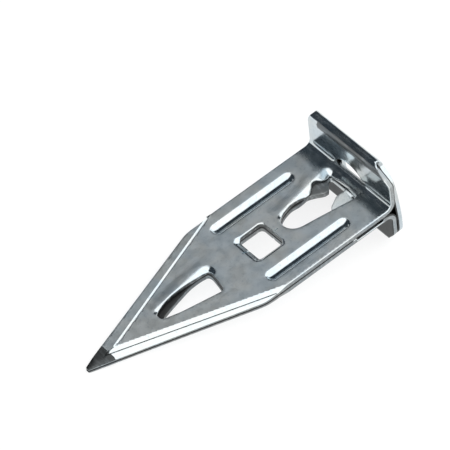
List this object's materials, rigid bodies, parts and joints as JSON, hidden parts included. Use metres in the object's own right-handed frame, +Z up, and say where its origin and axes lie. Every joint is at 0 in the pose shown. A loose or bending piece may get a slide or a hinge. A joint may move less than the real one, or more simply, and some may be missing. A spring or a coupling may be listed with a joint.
{
  "type": "drywall anchor",
  "caption": "Hammer-in drywall anchor folded from one steel strip, with a T head, a screw hole, tapered screw guides, a window, pressed grooves and a spear point.",
  "frame": {"origin": "middle of the footprint on the floor, where the anchor lies at rest", "axes": "+Y from the point towards the head along the floor, +X across the leaves, +Z up; the leaves rise 7.84 degrees towards the head"},
  "size_m": [0.014, 0.0418, 0.0117],
  "materials": {
    "zinc_steel": "bright zinc plating on rolled sheet, satin"
  },
  "bodies": {
    "root": {"anchor": "zinc_steel"}
  },
  "joints": []
}
